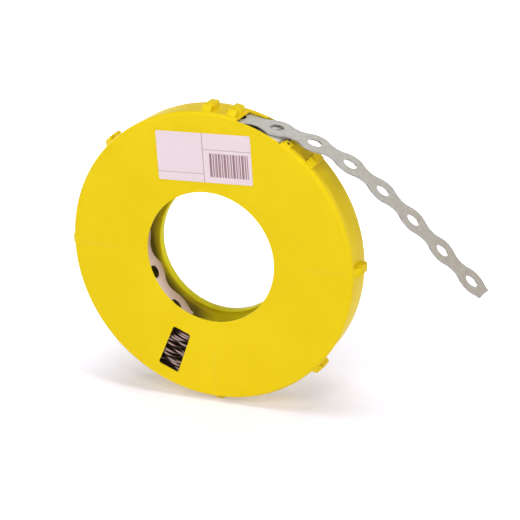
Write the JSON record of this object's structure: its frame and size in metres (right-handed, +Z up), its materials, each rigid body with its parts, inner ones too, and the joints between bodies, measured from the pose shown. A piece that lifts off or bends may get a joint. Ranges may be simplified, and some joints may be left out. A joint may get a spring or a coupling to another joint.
{
  "type": "perforated steel strap",
  "caption": "Coil of wavy-edged perforated steel strap in a round snap-together plastic cassette with an open bore, its free end led out of the rim and curving down.",
  "frame": {"origin": "middle of the foot, the flat outer face of the lowest rim clip, which the cassette stands on", "axes": "+X towards the strap's free end, +Y through the reel's axis from the labelled front face to the back, +Z up"},
  "size_m": [0.2159, 0.0205, 0.1552],
  "materials": {
    "housing": "satin moulded yellow polystyrene",
    "steel": "dull zinc-coated",
    "paper": "matt coated paper"
  },
  "bodies": {
    "root": {"front_shell": "housing", "back_shell": "housing", "strap": "steel", "label": "paper"}
  },
  "joints": []
}
